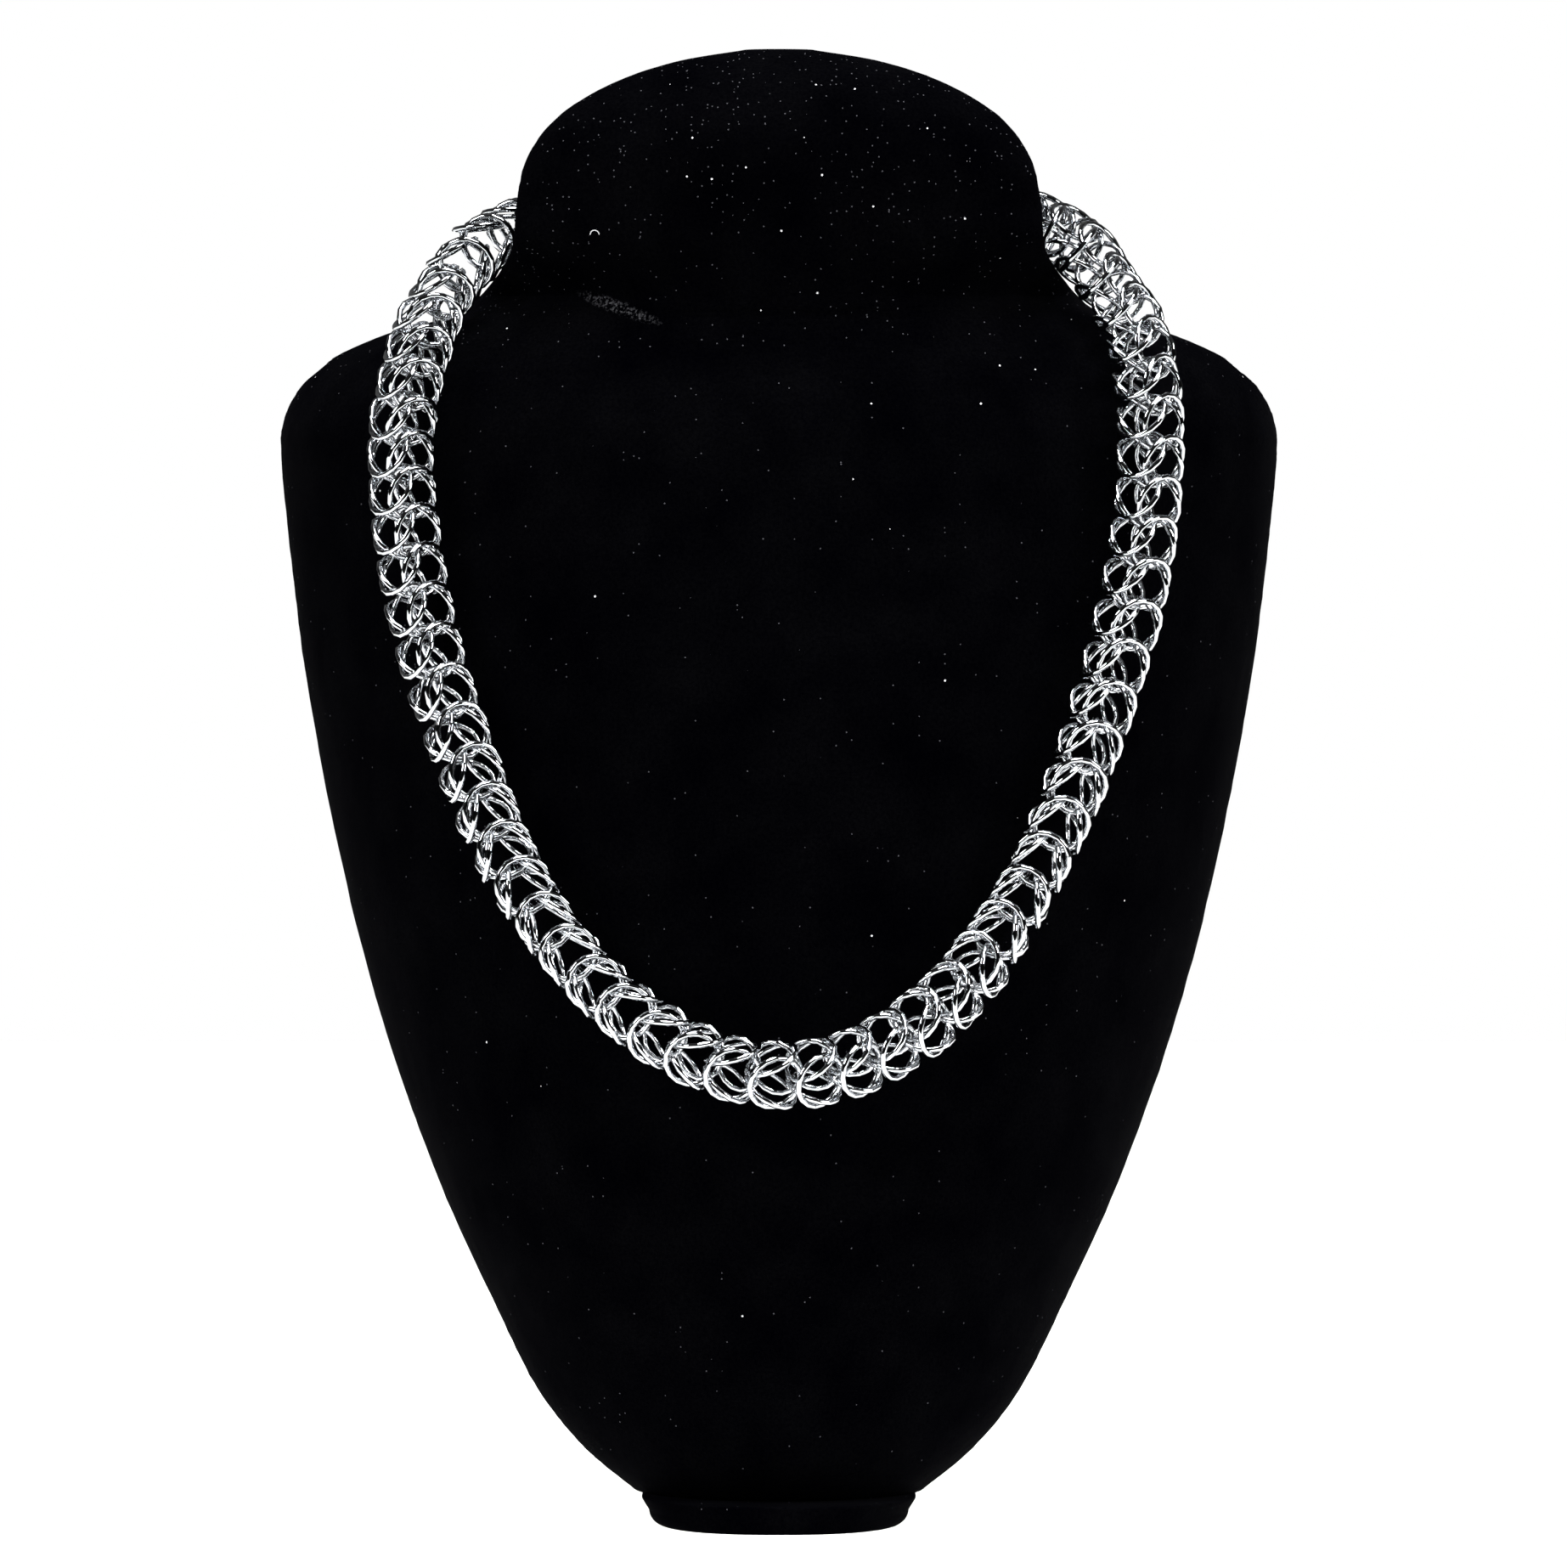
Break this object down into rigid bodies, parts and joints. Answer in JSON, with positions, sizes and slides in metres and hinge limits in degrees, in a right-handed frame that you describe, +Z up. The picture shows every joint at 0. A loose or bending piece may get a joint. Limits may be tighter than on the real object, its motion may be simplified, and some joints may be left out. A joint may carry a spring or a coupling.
{
  "type": "chainmail choker on a neck bust",
  "caption": "Round chainmail necklace of interlinked wire rings, closed by a barrel clasp behind the neck and shown on a black velvet neck bust with a low foot.",
  "frame": {"origin": "the foot's underside, in the middle of the whole thing's width and depth", "axes": "+Z up along the neck, -Y the wearer's front where the chain hangs, +X to the right as seen from the front"},
  "size_m": [0.1802, 0.0931, 0.2599],
  "materials": {
    "velvet": "black velvet with a short matt pile",
    "steel": "bright polished stainless steel wire"
  },
  "bodies": {
    "root": {"bust": "velvet", "foot": "velvet", "chain": "steel", "clasp": "steel"}
  },
  "joints": []
}
